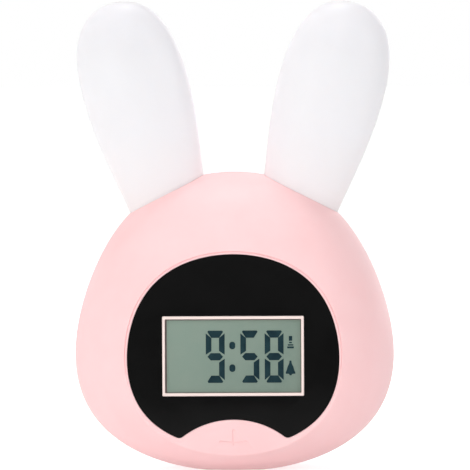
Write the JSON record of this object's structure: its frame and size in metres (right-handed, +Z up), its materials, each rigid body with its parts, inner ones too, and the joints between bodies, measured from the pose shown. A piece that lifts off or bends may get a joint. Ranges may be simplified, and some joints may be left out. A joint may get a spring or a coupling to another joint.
{
  "type": "alarm clock",
  "caption": "Rabbit-head bedside alarm clock with translucent night-light ears, a flat face with a black panel and LCD, and rear buttons, switch and battery door.",
  "frame": {"origin": "middle of the base on the surface that the clock stands on", "axes": "+Z up, the face with the display looks along -Y, +X to the right of someone who looks at the face"},
  "size_m": [0.11, 0.0688, 0.1618],
  "materials": {
    "head_plastic": "fine satin, pastel pink moulding",
    "ear_plastic": "milky translucent shade, satin",
    "panel_black": "glossy black sheet",
    "display_glass": "grey-green reflective display under clear glass",
    "light_guide": "white light guide",
    "black_plastic": "black moulding",
    "contact_rubber": "layered conductive rubber",
    "board": "green solder mask",
    "light_board": "white solder mask",
    "parts_on_board": "moulded packages",
    "led": "white packages with yellow phosphor",
    "steel": "zinc plated",
    "switch_plastic": "ivory moulding",
    "switch_body": "black moulding",
    "button_plastic": "white moulding",
    "copper": "copper foil",
    "cell_wrap": "printed sleeve without any marking",
    "nickel": "nickel plated",
    "foam": "closed-cell foam",
    "cone_paper": "black cone",
    "foot_rubber": "pale grey silicone"
  },
  "bodies": {
    "case": {"front_shell": "head_plastic", "rear_shell": "head_plastic", "left_ear": "ear_plastic", "right_ear": "ear_plastic", "face_panel": "panel_black", "lcd_glass": "display_glass", "lcd_backlight": "light_guide", "lcd_holder": "black_plastic", "contact_strips": "contact_rubber", "main_board": "board", "main_board_chips": "parts_on_board", "main_board_screws": "steel", "left_light_board": "light_board", "right_light_board": "light_board", "left_leds": "led", "right_leds": "led", "left_light_screws": "steel", "right_light_screws": "steel", "touch_pad": "copper", "button_board": "board", "button_board_screws": "steel", "tact_switches": "switch_body", "alarm_switch_body": "steel", "charge_board": "board", "charge_socket": "nickel", "battery_cells": "cell_wrap", "battery_springs": "nickel", "battery_contacts": "nickel", "speaker_gasket": "foam", "speaker_basket": "nickel", "speaker_cone": "cone_paper", "case_screws": "steel", "rubber_feet": "foot_rubber"},
    "time_button": {"time_button": "button_plastic", "time_plunger": "switch_plastic"},
    "alarm_button": {"alarm_button": "button_plastic", "alarm_plunger": "switch_plastic"},
    "up_button": {"up_button": "button_plastic", "up_plunger": "switch_plastic"},
    "down_button": {"down_button": "button_plastic", "down_plunger": "switch_plastic"},
    "light_button": {"light_button": "button_plastic", "light_plunger": "switch_plastic"},
    "alarm_switch": {"alarm_switch_knob": "button_plastic"},
    "battery_door": {"battery_door": "head_plastic", "battery_door_screw": "steel"}
  },
  "joints": [
    {"name": "time_press", "type": "slide", "parent": "case", "child": "time_button", "axis": [0, -1, 0], "range_m": [0, 0.0006], "stiffness_N_per_m": 1200, "springref_m": -0.0002},
    {"name": "alarm_press", "type": "slide", "parent": "case", "child": "alarm_button", "axis": [0, -1, 0], "range_m": [0, 0.0006], "stiffness_N_per_m": 1200, "springref_m": -0.0002},
    {"name": "up_press", "type": "slide", "parent": "case", "child": "up_button", "axis": [0, -1, 0], "range_m": [0, 0.0006], "stiffness_N_per_m": 1200, "springref_m": -0.0002},
    {"name": "down_press", "type": "slide", "parent": "case", "child": "down_button", "axis": [0, -1, 0], "range_m": [0, 0.0006], "stiffness_N_per_m": 1200, "springref_m": -0.0002},
    {"name": "light_press", "type": "slide", "parent": "case", "child": "light_button", "axis": [0, -1, 0], "range_m": [0, 0.0006], "stiffness_N_per_m": 1200, "springref_m": -0.0002},
    {"name": "alarm_switch_slide", "type": "slide", "parent": "case", "child": "alarm_switch", "axis": [1, 0, 0], "range_m": [0, 0.003]},
    {"name": "battery_door_removal", "type": "slide", "parent": "case", "child": "battery_door", "axis": [0, 1, 0], "range_m": [0, 0.025]}
  ]
}
